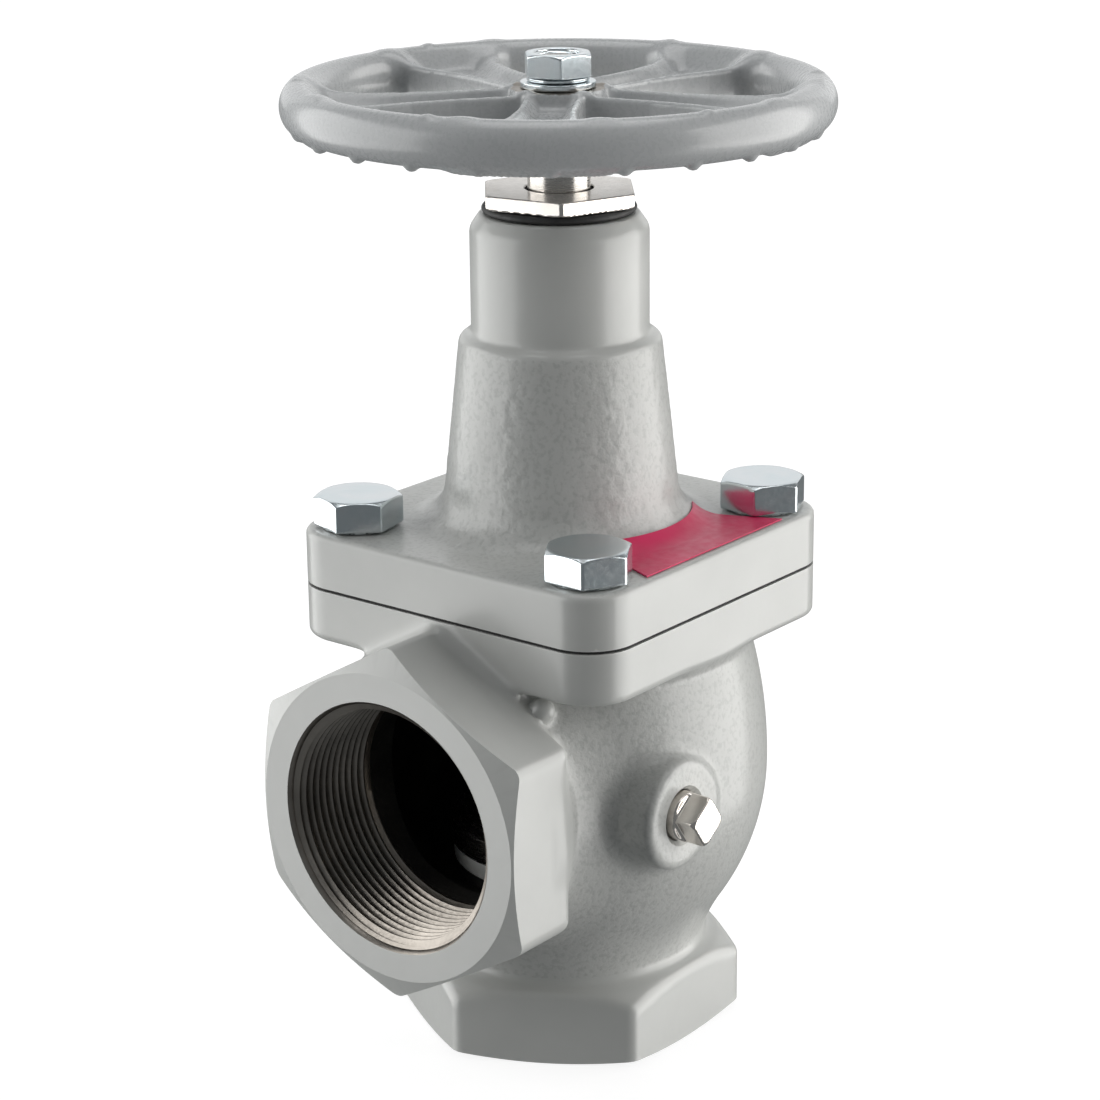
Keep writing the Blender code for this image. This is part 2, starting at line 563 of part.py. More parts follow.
clear_scene()
make_body()
make_gasket()
make_bonnet()
make_bolts()
make_label()
make_boss_plug()
make_gland()
make_stem()
make_disc()
make_wheel()
make_wheel_fasteners()
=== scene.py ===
"""Looks of an angle-pattern globe valve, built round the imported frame.

Castings, hexagons and threads are the zero surfaces of signed distance fields, which give their fillets
and rounded edges. Machined faces and bores are then cut in. Turned pieces are spun from an outline.
Lengths in this script are millimetres, and show() scales each finished mesh to metres.
"""

import json
import math

import bmesh
import bpy
import numpy as np
import openvdb
from mathutils import Matrix, Vector, noise


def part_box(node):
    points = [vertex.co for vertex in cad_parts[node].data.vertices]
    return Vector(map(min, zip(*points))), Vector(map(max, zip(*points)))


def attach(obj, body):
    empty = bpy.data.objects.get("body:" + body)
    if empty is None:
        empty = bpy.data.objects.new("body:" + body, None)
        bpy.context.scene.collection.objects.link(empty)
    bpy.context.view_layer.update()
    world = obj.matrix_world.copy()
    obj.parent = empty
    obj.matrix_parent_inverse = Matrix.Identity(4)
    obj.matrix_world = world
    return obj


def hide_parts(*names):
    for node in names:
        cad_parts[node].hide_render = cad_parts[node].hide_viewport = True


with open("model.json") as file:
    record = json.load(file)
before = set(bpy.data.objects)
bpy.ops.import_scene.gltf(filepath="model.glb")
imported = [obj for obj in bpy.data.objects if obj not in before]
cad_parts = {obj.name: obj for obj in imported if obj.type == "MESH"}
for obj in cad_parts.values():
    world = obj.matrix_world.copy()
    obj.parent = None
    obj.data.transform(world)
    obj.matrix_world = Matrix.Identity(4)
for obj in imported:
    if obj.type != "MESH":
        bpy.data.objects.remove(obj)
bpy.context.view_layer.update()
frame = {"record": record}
MM = 0.001


def cad(node):
    """Lowest and highest corners of a CAD node, in millimetres."""
    low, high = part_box(node)
    return low / MM, high / MM


BODY_LOW, BODY_HIGH = cad("valve_body")
BONNET_LOW, BONNET_HIGH = cad("bonnet")
WHEEL_HIGH = cad("handwheel")[1]

# Body
PORT_FACE_X = BODY_HIGH.x
GLOBE_R = -BODY_LOW.x
GLOBE_Z = 67.0                      # height of the widest ring
GLOBE_ARCS = (120.0, 60.0)          # outline arcs above and below that ring
PORT_AXIS_Z = 69.3
HEX_FLATS = 77.0
HEX_TOP = 19.5                      # of the bottom hexagon
NECK_R = 34.0                       # waist above the bottom hexagon
SIDE_NECK_R = 36.5
BOSS_X, BOSS_FACE_Y, BOSS_R = 19.5, BODY_HIGH.y, 13.4
FLANGE_HALF = BONNET_HIGH.x
FLANGE_CORNER_R = 12.0
BODY_FLANGE_Z = 102.2               # underside of the body's flange
BODY_TOP_Z = BODY_HIGH.z
WALL = 7.0
TOP_BORE_R = 33.2
SEAT_Z, SEAT_BORE_R = 40.5, 23.5

# Pipe thread: two-inch taper
MOUTH_R = 30.7
THREAD_FACE_R = 30.0                # bottom of the thread, at the face
THREAD_TALL = 1.5
PIPE_PITCH = 25.4 / 11.5
PIPE_TAPER = 1 / 32
THREAD_DEPTH = 26.0
FACE_R = 37.9                       # where a port's flat face meets its chamfer

# Bonnet
FLANGE_LOW_Z = cad("bonnet_gasket")[1].z + 0.1
FLANGE_TOP_Z = cad("id_label")[0].z - 0.2
CONE_LOW_R, CONE_TOP_R, CONE_TOP_Z = 28.3, 24.4, 174.0
CONE_FILLET = 9.0
BARREL_R, BARREL_EDGE_Z = 21.4, 201.0
BONNET_TOP_R, BONNET_TOP_Z = 19.0, BONNET_HIGH.z
GLAND_MOUTH_R = 14.9                # bore's lead-in at the top
FOOT_R = 32.7
BOLT_PITCH = 35.1
BOLT_R = 6.35
BOLT_HOLE_R = 6.85
BOLT_FLATS = 19.05
BOLT_LEAD = 25.4 / 13
FINE_LEAD = 1.5                     # threads of the gland nut, the stem's stud and the disc

# Stem
STEM_R = 7.5
STEM_LEAD, STEM_CREST_R, STEM_ROOT_R = 5.08, 9.8, 7.9
STEM_THREAD = (111.5, 145.0)
SQUARE_TURN = math.radians(12)

# Handwheel
WHEEL_Z = 230.7                     # middle plane of the rim
WHEEL_R = WHEEL_HIGH.x
HUB_R, HUB_TOP_Z = 11.2, 233.8
WHEEL_HUB_LOW_Z = 221.8
SPOKE_LOW_Z = 225.6                 # underside of the spokes
RIM_WIDE, RIM_TALL = 9.4, 11.5
SPOKES, SPOKE_TURN = 5, math.radians(32.4)
NUBS, NUB_TURN = 24, math.radians(6.6)
NUB_RING_R, NUB_Z, NUB_R = 61.2, 225.7, 1.75
PIPS, PIP_TURN = 6, math.radians(10.4)
PIP_RING_R, PIP_Z, PIP_R = 60.8, 235.9, 1.5

BODY_OF = {node: body for body, nodes in frame["record"]["behaviour"]["bodies"].items() for node in nodes}
SLOT_OF = {part["node"]: part["material_slot"] for part in frame["record"]["subparts"]}


# ---------------------------------------------------------------- distance fields

def fillet(a, b, radius):
    """Union of two fields, with a concave round of the given radius where they meet."""
    near = np.hypot(np.maximum(radius - a, 0), np.maximum(radius - b, 0))
    return np.maximum(radius, np.minimum(a, b)) - near


def edged(a, b, radius):
    """Where both fields are solid, with a convex round of the given radius along their edge."""
    near = np.hypot(np.maximum(radius + a, 0), np.maximum(radius + b, 0))
    return np.minimum(-radius, np.maximum(a, b)) + near


def slab(value, low, high):
    return np.maximum(low - value, value - high)


def hexagon(u, v, flats, corner):
    """A hexagon with a corner towards +u."""
    shape = np.abs(v) - flats / 2
    for turn in (30, 150):
        angle = math.radians(turn)
        shape = edged(shape, np.abs(u * math.cos(angle) + v * math.sin(angle)) - flats / 2, corner)
    return shape


def turn_back(x, y, angle):
    """Coordinates in axes turned by angle about Z."""
    return x * math.cos(angle) + y * math.sin(angle), y * math.cos(angle) - x * math.sin(angle)


def repeat(x, y, count, start):
    """Coordinates along and across the nearest of count equal sectors about Z."""
    sector = math.tau / count
    angle = np.mod(np.arctan2(y, x) - start + sector / 2, sector) - sector / 2
    reach = np.hypot(x, y)
    return reach * np.cos(angle), reach * np.sin(angle)


def cone(across, z, radius, height, slope):
    """Everything below a cone that passes through (radius, height) and falls outwards at slope degrees."""
    angle = math.radians(slope)
    return (across - radius) * math.sin(angle) + (z - height) * math.cos(angle)


def screw(x, y, z, root, crest, lead, flat=0.14):
    """A rod with a right-hand trapezoidal thread."""
    phase = np.mod(z / lead - np.arctan2(y, x) / math.tau, 1.0)
    rise = np.clip((0.5 - flat - np.abs(phase - 0.5)) / (0.5 - 2 * flat), 0, 1)
    return (np.hypot(x, y) - root - (crest - root) * rise) * 0.8


def square_plate(x, y, half, corner):
    dx, dy = np.abs(x) - half + corner, np.abs(y) - half + corner
    return np.hypot(np.maximum(dx, 0), np.maximum(dy, 0)) + np.minimum(np.maximum(dx, dy), 0) - corner


def surface(distance, low, high, step):
    """A closed mesh on a field's zero surface, and the surface's own normals at its vertices."""
    shape = [math.ceil((b - a) / step) + 1 for a, b in zip(low, high)]
    axes = np.ix_(*[a + step * np.arange(n) for a, n in zip(low, shape)])
    values = np.ascontiguousarray(np.broadcast_to(distance(*axes), shape), dtype=np.float32)
    grid = openvdb.FloatGrid(3 * step)
    grid.copyFromArray(values)
    grid.transform = openvdb.createLinearTransform(voxelSize=step)
    points, _, quads = grid.convertToPolygons(isovalue=0.0, adaptivity=0.0)
    points = points.astype(float) + np.array(low)
    reach = 0.02
    nudges = np.eye(3) * reach
    for _ in range(3):
        rises = [distance(*(points + d).T) - distance(*(points - d).T) for d in nudges]
        slope = np.stack(rises, 1) / (2 * reach)
        length = np.maximum(np.linalg.norm(slope, axis=1), 0.2)
        move = distance(*points.T) / length
        points -= slope * (np.clip(move, -step / 2, step / 2) / length)[:, None]
    normals = slope / length[:, None]
    mesh = bpy.data.meshes.new("surface")
    mesh.from_pydata(points, [], quads)
    mesh.update()
    probe = mesh.polygons[0]
    if np.dot(probe.normal, normals[probe.vertices[0]]) < 0:
        mesh.flip_normals()
    return mesh, normals


# ---------------------------------------------------------------- meshes

def eased(outline, radius, steps=3):
    """The outline with a small round in place of each corner that is off the axis."""
    points = []
    for i, corner in enumerate(map(Vector, outline)):
        if corner.x < 1e-6:
            points.append(corner)
            continue
        back = Vector(outline[i - 1]) - corner
        ahead = Vector(outline[(i + 1) % len(outline)]) - corner
        start = corner + back.normalized() * min(radius, back.length * 0.45)
        end = corner + ahead.normalized() * min(radius, ahead.length * 0.45)
        for k in range(steps + 1):
            t = k / steps
            points.append(start.lerp(corner, t).lerp(corner.lerp(end, t), t))
    return points


def turned(outline, ease=0.25, segments=72):
    """A body of revolution about Z from (radius, height) points, closed along the axis or into a ring."""
    bm = bmesh.new()
    points = eased(outline, ease) if ease else [Vector(p) for p in outline]
    verts = [bm.verts.new((p.x, 0, p.y)) for p in points]
    edges = [bm.edges.new(pair) for pair in zip(verts, verts[1:])]
    if outline[0][0] > 0 or outline[-1][0] > 0:
        edges.append(bm.edges.new((verts[-1], verts[0])))
    bmesh.ops.spin(bm, geom=verts + edges, cent=(0, 0, 0), axis=(0, 0, 1), angle=math.tau, steps=segments)
    bmesh.ops.remove_doubles(bm, verts=bm.verts, dist=0.001)
    return to_mesh(bm)


def prism(outline, low, high):
    bm = bmesh.new()
    face = bm.faces.new([bm.verts.new((x, y, low)) for x, y in outline])
    raised = bmesh.ops.extrude_face_region(bm, geom=[face])["geom"]
    lid = [item for item in raised if isinstance(item, bmesh.types.BMVert)]
    bmesh.ops.translate(bm, vec=(0, 0, high - low), verts=lid)
    return to_mesh(bm)


def to_mesh(bm):
    bmesh.ops.recalc_face_normals(bm, faces=bm.faces)
    mesh = bpy.data.meshes.new("piece")
    bm.to_mesh(mesh)
    bm.free()
    return mesh


def stood(mesh, location, axis="Z"):
    """A mesh made about Z, stood on another axis at a location."""
    turn = {"Z": Matrix.Identity(4), "X": Matrix.Rotation(math.pi / 2, 4, "Y"),
            "-X": Matrix.Rotation(-math.pi / 2, 4, "Y"), "Y": Matrix.Rotation(-math.pi / 2, 4, "X")}[axis]
    mesh.transform(Matrix.Translation(Vector(location)) @ turn)
    return mesh


def cut(mesh, *cutters):
    """The mesh with each cutter taken out of it, in order."""
    base = bpy.data.objects.new("base", mesh)
    bpy.context.scene.collection.objects.link(base)
    tools = [bpy.data.objects.new("cutter", cutter) for cutter in cutters]
    for tool in tools:
        bpy.context.scene.collection.objects.link(tool)
        step = base.modifiers.new("cut", "BOOLEAN")
        step.operation, step.solver, step.object = "DIFFERENCE", "MANIFOLD", tool
    made = bpy.data.meshes.new_from_object(base.evaluated_get(bpy.context.evaluated_depsgraph_get()))
    for obj in [base, *tools]:
        bpy.data.objects.remove(obj)
    return made


def roughen(mesh, amount, size, where):
    """Moves vertices along their normals by smooth noise, as in a sand casting.

    where gives each place's share of the amount, from 0 to 1.
    """
    places = [vertex.co.copy() for vertex in mesh.vertices]
    normals = [vertex.normal.copy() for vertex in mesh.vertices]
    for place, normal in zip(places, normals):
        share = where(place)
        if share > 0:
            lift = noise.noise(place / size) + 0.5 * noise.noise(place / (size * 0.45))
            place += normal * (amount * share * lift)
    mesh.vertices.foreach_set("co", np.array(places, np.float32).ravel())
    mesh.update()


def show(node, mesh, normals=None, sharp=38, others=()):
    """Puts a finished mesh in place of its CAD node, on that node's body and with its slot's material.

    others are materials, each with a test on a face's centre. A face takes the last that fits.
    """
    slot = SLOT_OF[node]
    mesh.materials.clear()
    mesh.materials.append(MATERIALS[slot])
    for index, (material, fits) in enumerate(others, 1):
        mesh.materials.append(material)
        for face in mesh.polygons:
            if fits(face.center):
                face.material_index = index
    mesh.transform(Matrix.Scale(MM, 4))
    mesh.shade_smooth()
    if normals is None:
        mesh.set_sharp_from_angle(angle=math.radians(sharp))
    else:
        mesh.normals_split_custom_set_from_vertices(normals)
    obj = bpy.data.objects.new(f"{node}_visual", mesh)
    bpy.context.scene.collection.objects.link(obj)
    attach(obj, BODY_OF[node])
    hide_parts(node)
    return obj


def grown(node, distance, step):
    """Shows a field's surface in place of a CAD node, in a grid round that node's box."""
    low, high = cad(node)
    margin = Vector((1.5, 1.5, 1.5))
    mesh, normals = surface(distance, low - margin, high + margin, step)
    return show(node, mesh, normals)


# ---------------------------------------------------------------- materials

class Nodes:
    """A material's node tree, with short calls for what the materials here share."""

    def __init__(self, name):
        self.material = bpy.data.materials.new(name)
        self.material.use_nodes = True
        self.tree = self.material.node_tree
        self.shader = self.tree.nodes["Principled BSDF"]
        self.where = self.tree.nodes.new("ShaderNodeTexCoord").outputs["Object"]

    def set(self, **values):
        for name, value in values.items():
            self.shader.inputs[name.replace("_", " ")].default_value = value

    def link(self, output, socket):
        self.tree.links.new(output, self.shader.inputs[socket] if isinstance(socket, str) else socket)

    def noise(self, per_mm, detail=3.0, stretch=(1, 1, 1), rough=0.5):
        """Noise with about per_mm features in each millimetre."""
        spread = self.tree.nodes.new("ShaderNodeMapping")
        spread.inputs["Scale"].default_value = [1000 * per_mm * s for s in stretch]
        self.tree.links.new(self.where, spread.inputs["Vector"])
        made = self.tree.nodes.new("ShaderNodeTexNoise")
        made.inputs["Scale"].default_value = 1.0
        made.inputs["Detail"].default_value = detail
        made.inputs["Roughness"].default_value = rough
        self.tree.links.new(spread.outputs["Vector"], made.inputs["Vector"])
        return made.outputs["Fac"]

    def ramp(self, source, *stops):
        """Colour or grey by the source's value. Each stop is (position, grey or colour)."""
        made = self.tree.nodes.new("ShaderNodeValToRGB")
        elements = made.color_ramp.elements
        for index, (position, value) in enumerate(stops):
            element = elements[index] if index < 2 else elements.new(position)
            element.position = position
            element.color = (*value, 1) if isinstance(value, tuple) else (value, value, value, 1)
        self.tree.links.new(source, made.inputs["Fac"])
        return made.outputs["Color"]

    def mix(self, share, a, b, mode="MIX"):
        made = self.tree.nodes.new("ShaderNodeMix")
        made.data_type, made.blend_type = "RGBA", mode
        for socket, value in zip((made.inputs["Factor"], made.inputs[6], made.inputs[7]), (share, a, b)):
            if isinstance(value, bpy.types.NodeSocket):
                self.tree.links.new(value, socket)
            else:
                socket.default_value = value if isinstance(value, float) else (*value, 1)
        return made.outputs[2]

    def bump(self, *layers):
        """Bumps on top of each other. Each layer is (height, depth in millimetres)."""
        normal = None
        for height, depth in layers:
            made = self.tree.nodes.new("ShaderNodeBump")
            made.inputs["Strength"].default_value = 1.0
            made.inputs["Distance"].default_value = depth * MM
            self.tree.links.new(height, made.inputs["Height"])
            if normal:
                self.tree.links.new(normal, made.inputs["Normal"])
            normal = made.outputs["Normal"]
        self.link(normal, "Normal")

    def painted_edge_highlight(self):
        """A mask for a painted highlight: white on convex edges, black elsewhere."""
        point = self.tree.nodes.new("ShaderNodeNewGeometry").outputs["Pointiness"]
        return self.ramp(point, (0.52, 0.0), (0.60, 1.0))


def enamel(name, colour, rough, peel_depth, grain_depth, cast=0.0):
    """Sprayed enamel over a casting: orange peel, fine grain, faint clouding, and paler convex edges that are
    a painted highlight.

    cast is the depth of the sand casting's pebbled skin under the paint. The skin's low spots are also
    darkened in the colour, as painted shade.
    """
    n = Nodes(name)
    cloud = n.noise(0.03, 4.0)
    grain = n.noise(0.9, 3.0)
    peel = n.noise(0.22, 1.0)
    pale = tuple(min(1.0, c * 1.05) for c in colour)
    deep = tuple(c * 0.94 for c in colour)
    tone = n.ramp(cloud, (0.3, deep), (0.7, pale))
    if cast:
        # Darker where the pebble bump is low: painted shade in the pits of the skin.
        pebble = n.noise(0.8, 2.0, rough=0.55)
        tone = n.mix(0.5, tone, n.mix(1.0, tone, n.ramp(pebble, (0.36, 0.74), (0.50, 1.0)), "MULTIPLY"))
    # Convex edges are lightened in the colour: a painted highlight.
    n.link(n.mix(n.painted_edge_highlight(), tone, tuple(min(1.0, c * 1.2) for c in colour)), "Base Color")
    n.link(n.ramp(grain, (0.3, rough - 0.03), (0.7, rough + 0.05)), "Roughness")
    n.set(Specular_IOR_Level=0.5, Coat_Weight=0.3, Coat_Roughness=0.16)
    n.bump((peel, peel_depth), (grain, grain_depth), *([(pebble, cast)] if cast else []))
    return n.material


def plated(name, colour, rough, cool):
    """Bright plate on machined steel: fine crossing scratches, cloudy tint and a little lost shine."""
    n = Nodes(name)
    cloud = n.noise(0.12, 3.0)
    scratch = n.noise(2.2, 3.0, stretch=(1, 0.12, 0.5))
    cross = n.noise(2.0, 3.0, stretch=(0.15, 1, 0.4))
    both = n.mix(0.5, scratch, cross)
    n.link(n.ramp(cloud, (0.3, tuple(a * b for a, b in zip(colour, cool))), (0.7, colour)), "Base Color")
    n.link(n.ramp(both, (0.35, rough - 0.04), (0.65, rough + 0.06)), "Roughness")
    n.set(Metallic=1.0)
    n.bump((both, 0.0015), (cloud, 0.015))
    return n.material


def machined(name, colour, rough, stretch=(0.15, 0.15, 3.0), stain=0.8):
    """Turned bare steel: fine tool rings round the axis and faint staining."""
    n = Nodes(name)
    rings = n.noise(1.2, 2.0, stretch=stretch)
    cloud = n.noise(0.08, 4.0)
    n.link(n.ramp(cloud, (0.3, tuple(c * stain for c in colour)), (0.7, colour)), "Base Color")
    n.link(n.ramp(rings, (0.3, rough - 0.05), (0.7, rough + 0.12)), "Roughness")
    n.set(Metallic=1.0)
    n.bump((rings, 0.02))
    return n.material


def dull(name, dark, light, rough, per_mm, depth, metallic=0.0):
    """Rubber, graphite, sheet, plastic or raw iron: a mottled colour with a fine even grain."""
    n = Nodes(name)
    grain = n.noise(per_mm, 4.0)
    n.link(n.ramp(n.noise(per_mm * 0.12, 3.0), (0.3, dark), (0.7, light)), "Base Color")
    n.link(n.ramp(grain, (0.3, rough - 0.08), (0.7, rough + 0.08)), "Roughness")
    n.set(Metallic=metallic)
    n.bump((grain, depth))
    return n.material


MATERIALS = {
    "body_paint": enamel("grey_enamel", (0.46, 0.465, 0.45), 0.32, 0.05, 0.010),
    "wheel_paint": enamel("wheel_enamel", (0.42, 0.43, 0.435), 0.27, 0.025, 0.003),
    "zinc_plate": plated("zinc_plating", (0.74, 0.77, 0.79), 0.20, (0.90, 0.96, 0.97)),
    "nickel_plate": plated("nickel_plating", (0.84, 0.80, 0.76), 0.20, (0.94, 0.92, 0.90)),
    "stem_steel": machined("polished_steel", (0.66, 0.64, 0.61), 0.20),
    "black_rubber": dull("moulded_rubber", (0.012, 0.012, 0.012), (0.03, 0.03, 0.03), 0.6, 1.5, 0.02),
    "gasket_sheet": dull("gasket_fibre", (0.010, 0.010, 0.010), (0.03, 0.03, 0.03), 0.85, 2.0, 0.04),
    "packing": dull("graphite_packing", (0.03, 0.03, 0.03), (0.08, 0.08, 0.08), 0.5, 2.0, 0.04),
    "seat_plastic": dull("white_seat_plastic", (0.74, 0.74, 0.71), (0.86, 0.86, 0.83), 0.38, 1.0, 0.01),
    "label": dull("crimson_label", (0.52, 0.014, 0.08), (0.66, 0.024, 0.115), 0.36, 0.5, 0.02),
}
# The cast enamel's pebbled skin has painted shade in its pits.
CAST_PAINT = enamel("cast_enamel", (0.46, 0.465, 0.45), 0.34, 0.05, 0.010, 0.12)
BORE_STEEL = machined("machined_bore", (0.42, 0.385, 0.345), 0.34, (1.2, 1.2, 1.2), 0.6)
# Near-black for the inside of the casting: partly the bare iron's own colour, partly painted shade for the
# dark chamber and ports.
RAW_IRON_AND_SHADE = dull("raw_iron_and_painted_shade", (0.018, 0.017, 0.016), (0.05, 0.047, 0.042), 0.75, 0.8, 0.15, 0.3)


# ---------------------------------------------------------------- body and bonnet

def bolt_spots():
    """Bolt centres, anticlockwise from the one between the side port and the boss."""
    return [(x * BOLT_PITCH, y * BOLT_PITCH) for x, y in ((1, 1), (-1, 1), (-1, -1), (1, -1))]


def bolt_holes(low, high):
    return [stood(turned([(0, low), (BOLT_HOLE_R, low), (BOLT_HOLE_R, high), (0, high)], 0, 40), (x, y, 0))
            for x, y in bolt_spots()]


def body_field(x, y, z):
    across = np.hypot(x, y)
    curve = np.where(z > GLOBE_Z, *GLOBE_ARCS)
    globe = np.hypot(across - (GLOBE_R - curve), z - GLOBE_Z) - curve
    globe = np.maximum(globe, slab(z, 14, 112))
    waist = np.maximum(across - NECK_R, slab(z, 8, 34))
    shape = fillet(globe, waist, 7)

    rise = z - PORT_AXIS_Z
    neck = np.maximum(np.hypot(y, rise) - SIDE_NECK_R, slab(x, 5, 50))
    port = edged(hexagon(rise, y, HEX_FLATS, 1.6), 45.0 - x, 4.5)
    port = np.maximum(port, x - PORT_FACE_X - 2)
    shape = fillet(fillet(shape, neck, 8), port, 4)

    foot = edged(hexagon(x, y, HEX_FLATS, 1.6), cone(across, z, 38.0, HEX_TOP, 30), 1.6)
    foot = edged(np.maximum(foot, -2 - z), z - HEX_TOP, 1.2)
    shape = fillet(shape, foot, 3.5)

    flange = edged(square_plate(x, y, FLANGE_HALF, FLANGE_CORNER_R), slab(z, BODY_FLANGE_Z, 118), 1.6)
    shape = fillet(shape, flange, 4)

    boss = np.hypot(x - BOSS_X, rise) - BOSS_R - (BOSS_FACE_Y - y) * 0.05
    boss = edged(boss, slab(y, 15, BOSS_FACE_Y), 1.8)
    shape = fillet(shape, boss, 3)

    sprue = np.sqrt((x - 43) ** 2 + (y - 27.5) ** 2 + (z - 97.5) ** 2) - 3.0
    return fillet(shape, sprue, 1.5)


def pipe_thread(steps=96):
    """Cutter for a tapered pipe port: its face is at height 0 and the port runs upwards."""
    edges = [(0.06, 0.0), (0.46, 1.0), (0.54, 1.0), (0.94, 0.0)]
    low, high = 1.1, THREAD_DEPTH
    turns = range(-1, math.ceil(high / PIPE_PITCH) + 1)
    rows = [(turn + part, tall) for turn in turns for part, tall in edges]
    bm = bmesh.new()
    columns = []
    for step in range(steps):
        angle = math.tau * step / steps
        column = []
        for part, tall in rows:
            height = min(max(PIPE_PITCH * (part + step / steps), low), high)
            fade = min(1.0, (height - low) / 0.5, (high - height) / 3.0)
            reach = THREAD_FACE_R - height * PIPE_TAPER - THREAD_TALL * (1 - tall * fade)
            column.append(bm.verts.new((reach * math.cos(angle), reach * math.sin(angle), height)))
        columns.append(column)
    for step, column in enumerate(columns):
        after = columns[(step + 1) % steps]
        shift = len(edges) if step == steps - 1 else 0
        for row in range(len(rows) - 1 - shift):
            bm.faces.new((column[row], after[row + shift], after[row + shift + 1], column[row + 1]))
    bmesh.ops.remove_doubles(bm, verts=bm.verts, dist=0.001)
    bmesh.ops.holes_fill(bm, edges=[edge for edge in bm.edges if edge.is_boundary])
    return to_mesh(bm)


def port_mouth(fall):
    """Outline of a port's face cut, lead-in and plain bore, looking up from outside.

    fall is how far the hexagon's face chamfer drops from the flat face to a radius of 60.
    """
    plain = THREAD_FACE_R - THREAD_TALL
    return [(0, -3), (70, -3), (70, fall), (60, fall), (FACE_R, 0), (31.0, 0), (30.4, 0.6), (30.2, 1.3),
            (plain - 0.1, 2.5), (plain - THREAD_DEPTH * PIPE_TAPER, THREAD_DEPTH)]


def make_body():
    margin = Vector((3, 3, 3))
    mesh, _ = surface(body_field, BODY_LOW - margin, BODY_HIGH + margin, 1.0)
    floor = SEAT_Z - 2.5
    curve_top, curve_low = GLOBE_ARCS
    inside = port_mouth(6.5) + [(SEAT_BORE_R, THREAD_DEPTH + 3), (SEAT_BORE_R, SEAT_Z), (26.1, SEAT_Z),
                                (27.5, floor), (33, floor)]
    for k in range(11):
        z = 46 + 4.8 * k
        curve = (curve_top if z > GLOBE_Z else curve_low) - WALL
        inside.append((GLOBE_R - WALL - curve + math.sqrt(curve ** 2 - (z - GLOBE_Z) ** 2), z))
    inside += [(TOP_BORE_R, 103), (TOP_BORE_R, BODY_TOP_Z - 0.6), (33.8, BODY_TOP_Z), (80, BODY_TOP_Z),
               (80, 125), (0, 125)]
    side_plain = port_mouth(10.5) + [(27.5, THREAD_DEPTH + 3), (27.5, 50), (0, 50)]
    side_at = (PORT_FACE_X, 0, PORT_AXIS_Z)
    tapping = [(0, 30), (5.9, 30), (6.3, BOSS_FACE_Y - 1.2), (7.4, BOSS_FACE_Y), (7.4, BOSS_FACE_Y + 3),
               (0, BOSS_FACE_Y + 3)]
    mesh = cut(mesh, turned(inside, 0, 120), stood(turned(side_plain, 0, 120), side_at, "-X"),
               pipe_thread(), stood(pipe_thread(), side_at, "-X"),
               stood(turned(tapping, 0, 48), (BOSS_X, 0, PORT_AXIS_Z), "Y"),
               *bolt_holes(103.4, BODY_TOP_Z + 3))

    def bored(centre):
        """Faces in the two threaded ports."""
        up = math.hypot(centre.x, centre.y) < MOUTH_R + 0.2 and 0.02 < centre.z < THREAD_DEPTH + 0.5
        off = math.hypot(centre.y, centre.z - PORT_AXIS_Z)
        along = off < MOUTH_R + 0.2 and PORT_FACE_X - THREAD_DEPTH - 0.5 < centre.x < PORT_FACE_X - 0.02
        return up or along

    def inner(centre):
        """Faces of the flow chamber and the passages behind the threads, coloured near-black as bare iron and
        painted shade.
        """
        hidden = math.hypot(centre.x, centre.y) < 44.5 and SEAT_Z - 12 < centre.z < BODY_TOP_Z - 0.7
        off = math.hypot(centre.y, centre.z - PORT_AXIS_Z)
        core = off < 28.2 and 15 < centre.x < PORT_FACE_X - THREAD_DEPTH
        return core or hidden and body_field(*centre) < -1.0

    def globe(centre):
        """Faces of the round casting, which keep the sand's skin."""
        return HEX_TOP + 2 < centre.z < BODY_FLANGE_Z and centre.x < 44 and not inner(centre)

    def on_rim(place):
        """On the circle where a port's flat face meets its chamfer."""
        side = math.hypot(place.y, place.z - PORT_AXIS_Z), place.x - PORT_FACE_X
        bottom = math.hypot(place.x, place.y), place.z
        return any(abs(reach - FACE_R) < 0.05 and abs(off) < 0.01 for reach, off in (side, bottom))

    # The inside takes near-black iron, which is partly painted shade.
    others = ((CAST_PAINT, globe), (RAW_IRON_AND_SHADE, inner), (BORE_STEEL, bored))
    body = show("valve_body", mesh, sharp=32, others=others)
    rims = [on_rim(vertex.co / MM) for vertex in body.data.vertices]
    for edge in body.data.edges:
        if all(rims[index] for index in edge.vertices):
            edge.use_edge_sharp = True


def bonnet_field(x, y, z):
    across = np.hypot(x, y)
    lean = math.atan2(CONE_LOW_R - CONE_TOP_R, CONE_TOP_Z - FLANGE_TOP_Z - CONE_FILLET)
    side = (across - CONE_TOP_R) * math.cos(lean) + (z - CONE_TOP_Z) * math.sin(lean)
    tower = np.maximum(edged(side, z - CONE_TOP_Z - 1.4, 2.2), 112 - z)
    fall = math.degrees(math.atan2(BONNET_TOP_Z - BARREL_EDGE_Z, BARREL_R - BONNET_TOP_R))
    barrel = edged(across - BARREL_R, cone(across, z, BARREL_R, BARREL_EDGE_Z, fall), 0.6)
    barrel = edged(barrel, z - BONNET_TOP_Z, 0.4)
    tower = fillet(tower, np.maximum(barrel, 150 - z), 1.6)
    plate = edged(square_plate(x, y, FLANGE_HALF, FLANGE_CORNER_R), slab(z, 112, FLANGE_TOP_Z), 1.5)
    return fillet(tower, plate, CONE_FILLET)


